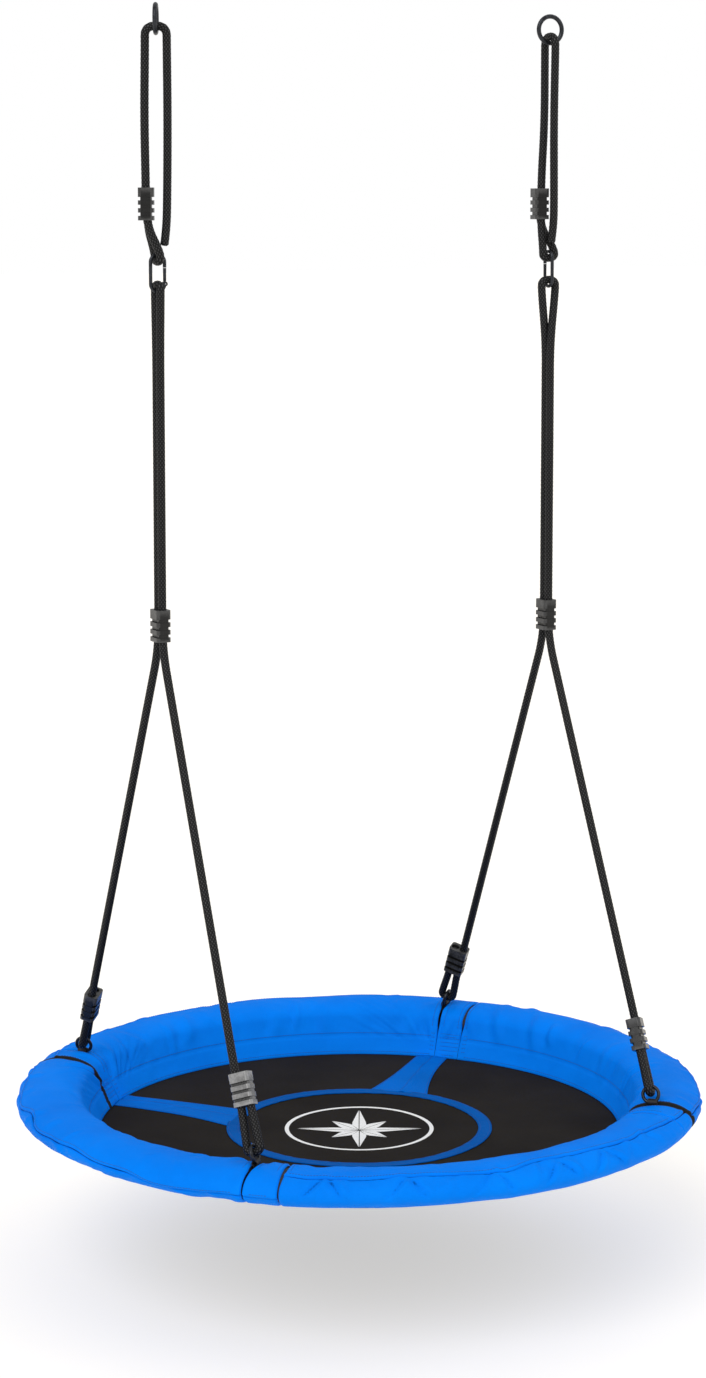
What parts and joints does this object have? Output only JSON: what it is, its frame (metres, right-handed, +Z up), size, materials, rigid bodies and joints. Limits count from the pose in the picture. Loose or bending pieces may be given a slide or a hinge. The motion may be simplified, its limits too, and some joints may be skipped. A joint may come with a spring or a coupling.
{
  "type": "saucer nest swing",
  "caption": "Round padded saucer seat with a dished mat, hung by clamped rope legs, carabiners and extension ropes from two rings.",
  "frame": {"origin": "middle of the line where the two overhead hooks bear on the inside tops of the hanging rings", "axes": "+Z up along the hanging ropes, +X along the overhead beam from the left ring to the right ring, +Y towards the back of the swing"},
  "size_m": [0.9998, 1, 1.6355],
  "materials": {
    "blackened_steel": "black plated steel with a soft gloss",
    "plated_steel": "zinc plated",
    "frame_steel": "powder-coated steel tube",
    "clamp_plastic": "moulded black plastic, semi-gloss",
    "black_rope": "braided black polyester rope",
    "dark_webbing": "woven brown-black webbing",
    "blue_cover": "coated blue polyester cloth, sewn and puckered",
    "blue_trim": "blue polyester tape with stitched edges",
    "foam": "closed-cell foam",
    "mat_fabric": "charcoal woven polypropylene jumping mat"
  },
  "bodies": {
    "hanging_rings": {"left_hanging_ring": "blackened_steel", "right_hanging_ring": "blackened_steel"},
    "left_extension": {"left_extension_rope": "black_rope", "left_extension_clamp": "clamp_plastic"},
    "left_carabiner": {"left_carabiner_body": "blackened_steel", "left_gate_pin": "plated_steel"},
    "left_gate": {"left_carabiner_gate": "blackened_steel"},
    "left_ropes": {"left_main_rope": "black_rope", "left_front_leg_clamp": "clamp_plastic", "left_back_leg_clamp": "clamp_plastic"},
    "left_mid_clamp": {"left_mid_clamp": "clamp_plastic"},
    "right_extension": {"right_extension_rope": "black_rope", "right_extension_clamp": "clamp_plastic"},
    "right_carabiner": {"right_carabiner_body": "blackened_steel", "right_gate_pin": "plated_steel"},
    "right_gate": {"right_carabiner_gate": "blackened_steel"},
    "right_ropes": {"right_main_rope": "black_rope", "right_front_leg_clamp": "clamp_plastic", "right_back_leg_clamp": "clamp_plastic"},
    "right_mid_clamp": {"right_mid_clamp": "clamp_plastic"},
    "seat": {"left_front_saucer_ring": "blackened_steel", "left_front_hanging_strap": "dark_webbing", "left_front_rim_band": "blue_cover", "left_front_frame_tube": "frame_steel", "left_back_saucer_ring": "blackened_steel", "left_back_hanging_strap": "dark_webbing", "left_back_rim_band": "blue_cover", "left_back_frame_tube": "frame_steel", "right_front_saucer_ring": "blackened_steel", "right_front_hanging_strap": "dark_webbing", "right_front_rim_band": "blue_cover", "right_front_frame_tube": "frame_steel", "right_back_saucer_ring": "blackened_steel", "right_back_hanging_strap": "dark_webbing", "right_back_rim_band": "blue_cover", "right_back_frame_tube": "frame_steel", "back_cover": "blue_cover", "back_skirt": "blue_cover", "back_foam_sleeve": "foam", "back_spigot": "plated_steel", "left_cover": "blue_cover", "left_skirt": "blue_cover", "left_foam_sleeve": "foam", "left_spigot": "plated_steel", "front_cover": "blue_cover", "front_skirt": "blue_cover", "front_foam_sleeve": "foam", "front_spigot": "plated_steel", "right_cover": "blue_cover", "right_skirt": "blue_cover", "right_foam_sleeve": "foam", "right_spigot": "plated_steel", "frame_screws": "plated_steel", "mat": "mat_fabric", "centre_ring_trim": "blue_trim", "left_back_radial_strap": "blue_trim", "right_back_radial_strap": "blue_trim"}
  },
  "joints": [
    {"name": "left_swing", "type": "hinge", "parent": "hanging_rings", "child": "left_extension", "pos_m": [-0.31254, 0, -0.03525], "axis": [1, 0, 0], "range_deg": [-45, 45], "deforming": ["left_extension_rope"]},
    {"name": "left_carabiner_pitch", "type": "hinge", "parent": "left_extension", "child": "left_carabiner", "pos_m": [-0.31254, 0, -0.3375], "axis": [1, 0, 0], "range_deg": [-10, 10]},
    {"name": "left_sway", "type": "hinge", "parent": "left_carabiner", "child": "left_ropes", "pos_m": [-0.31254, 0, -0.378], "axis": [0, 1, 0], "range_deg": [-10, 10]},
    {"name": "left_gate_open", "type": "hinge", "parent": "left_carabiner", "child": "left_gate", "pos_m": [-0.30204, 0, -0.378], "axis": [0, -1, 0], "range_deg": [0, 25], "stiffness_Nm_per_rad": 0.02, "springref_deg": -17.19},
    {"name": "left_mid_clamp_slide", "type": "slide", "parent": "left_ropes", "child": "left_mid_clamp", "axis": [0, 0, 1], "range_m": [0, 0.31]},
    {"name": "right_swing", "type": "hinge", "parent": "hanging_rings", "child": "right_extension", "pos_m": [0.31254, 0, -0.03525], "axis": [1, 0, 0], "range_deg": [-45, 45]},
    {"name": "right_carabiner_pitch", "type": "hinge", "parent": "right_extension", "child": "right_carabiner", "pos_m": [0.31254, 0, -0.3375], "axis": [1, 0, 0], "range_deg": [-10, 10]},
    {"name": "right_sway", "type": "hinge", "parent": "right_carabiner", "child": "right_ropes", "pos_m": [0.31254, 0, -0.378], "axis": [0, 1, 0], "range_deg": [-10, 10]},
    {"name": "right_gate_open", "type": "hinge", "parent": "right_carabiner", "child": "right_gate", "pos_m": [0.31254, 0.0105, -0.378], "axis": [1, 0, 0], "range_deg": [0, 25], "stiffness_Nm_per_rad": 0.02, "springref_deg": -17.19},
    {"name": "right_mid_clamp_slide", "type": "slide", "parent": "right_ropes", "child": "right_mid_clamp", "axis": [0, 0, 1], "range_m": [0, 0.31]},
    {"name": "seat_level", "type": "hinge", "parent": "left_ropes", "child": "seat", "pos_m": [-0.31254, 0, -1.52315], "axis": [0, 1, 0], "range_deg": [-10, 10]}
  ],
  "couplings": [
    {"joint": "right_swing", "follows": "left_swing", "ratio": 1},
    {"joint": "right_carabiner_pitch", "follows": "left_carabiner_pitch", "ratio": 1},
    {"joint": "right_sway", "follows": "left_sway", "ratio": 1},
    {"joint": "seat_level", "follows": "left_sway", "ratio": -1}
  ]
}
